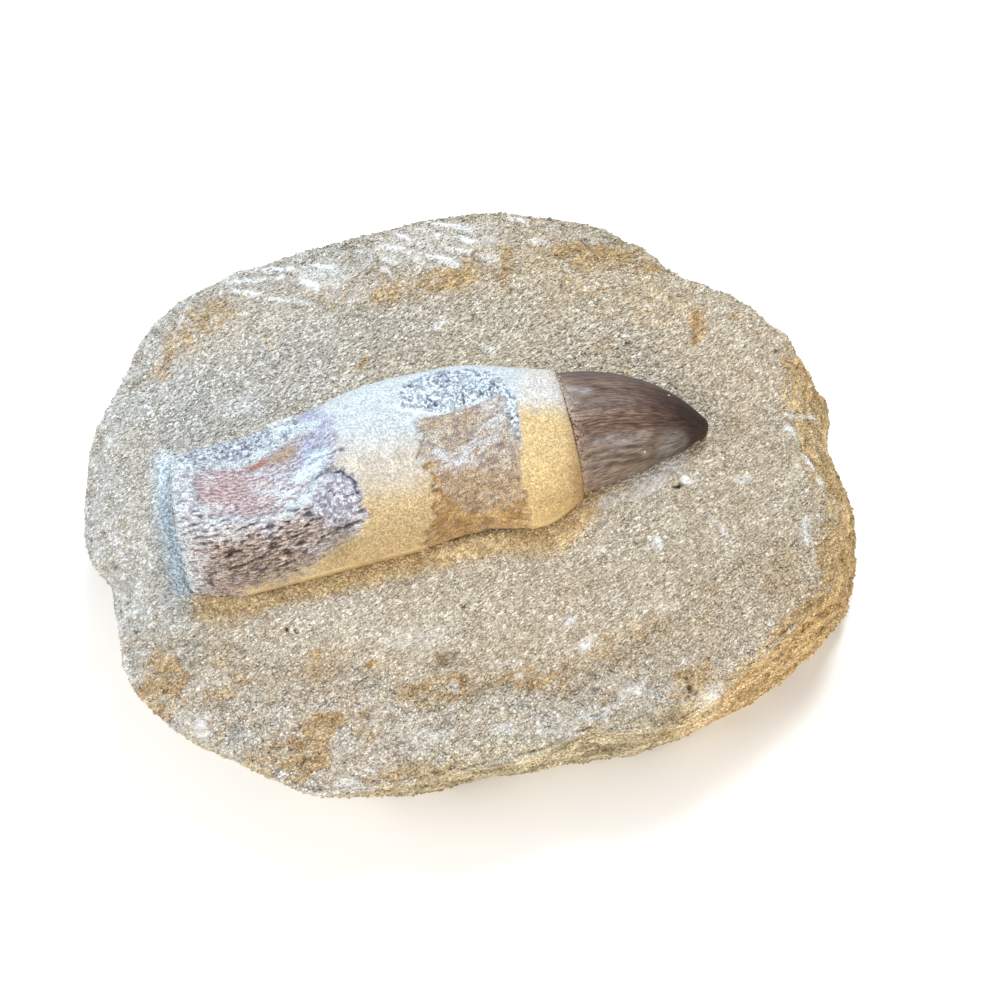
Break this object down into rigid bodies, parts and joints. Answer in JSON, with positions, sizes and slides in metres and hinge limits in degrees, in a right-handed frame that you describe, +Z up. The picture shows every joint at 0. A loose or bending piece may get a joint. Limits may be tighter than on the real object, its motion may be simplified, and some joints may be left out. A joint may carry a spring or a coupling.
{
  "type": "fossil mosasaur tooth on matrix",
  "caption": "Fossil mosasaur tooth, a dark enamelled crown on a long weathered root, lying half sunk in a rough slab of sandy phosphate rock with a flat underside.",
  "frame": {"origin": "on the flat underside, at the middle of the outline box", "axes": "+X from the root's broken end towards the crown's tip, +Y towards the chiselled slope at the back, +Z up from the underside to the dressed face"},
  "size_m": [0.1428, 0.1128, 0.0413],
  "materials": {
    "matrix_rock": "rough sandy phosphate rock, greige with orange iron stains and white chalky specks",
    "root_bone": "fossil bone: cream dentine with porous lavender-brown and white crust",
    "crown_enamel": "dark brown enamel with fine lengthwise ridges, soft gloss"
  },
  "bodies": {
    "root": {"matrix_slab": "matrix_rock", "tooth_root": "root_bone", "tooth_crown": "crown_enamel"}
  },
  "joints": []
}
